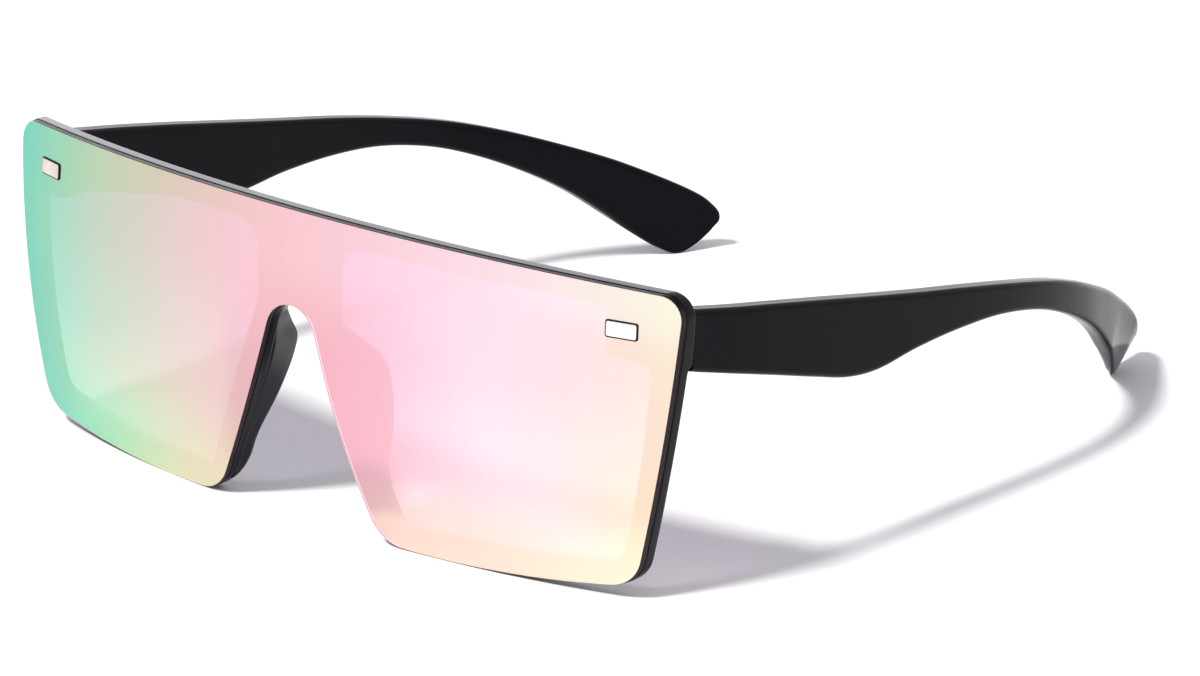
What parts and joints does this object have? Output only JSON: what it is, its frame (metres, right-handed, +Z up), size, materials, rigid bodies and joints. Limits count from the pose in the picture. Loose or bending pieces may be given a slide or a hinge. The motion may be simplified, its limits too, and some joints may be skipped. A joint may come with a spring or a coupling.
{
  "type": "shield sunglasses",
  "caption": "Flat-top shield sunglasses with one curved mirror lens, a moulded black front with nose pads, and two folding temples on screw hinges.",
  "frame": {"origin": "on the ground plane, at the middle of the width and of the open depth", "axes": "+Z up; the lens faces -Y and the temples run back to +Y; +X is the wearer's left"},
  "size_m": [0.148, 0.1583, 0.0526],
  "materials": {
    "mirror_lens": "clear polycarbonate with a pink, gold and green mirror coating, partly see-through",
    "black_front": "polished black injection moulding",
    "black_temple": "polished black injection moulding",
    "hinge_metal": "satin nickel silver",
    "screw_metal": "bright steel",
    "plaque_metal": "polished, with a bevelled edge"
  },
  "bodies": {
    "front": {"shield_lens": "mirror_lens", "front_frame": "black_front", "left_front_hinge": "hinge_metal", "left_hinge_screw": "screw_metal", "left_plaque": "plaque_metal", "right_front_hinge": "hinge_metal", "right_hinge_screw": "screw_metal", "right_plaque": "plaque_metal"},
    "left_temple_arm": {"left_temple": "black_temple", "left_temple_hinge": "hinge_metal"},
    "right_temple_arm": {"right_temple": "black_temple", "right_temple_hinge": "hinge_metal"}
  },
  "joints": [
    {"name": "left_temple_fold", "type": "hinge", "parent": "front", "child": "left_temple_arm", "pos_m": [0.0679, -0.0628, 0.04261], "axis": [0, 0, 1], "range_deg": [0, 82]},
    {"name": "right_temple_fold", "type": "hinge", "parent": "front", "child": "right_temple_arm", "pos_m": [-0.0679, -0.0628, 0.04261], "axis": [0, 0, -1], "range_deg": [0, 72]}
  ]
}
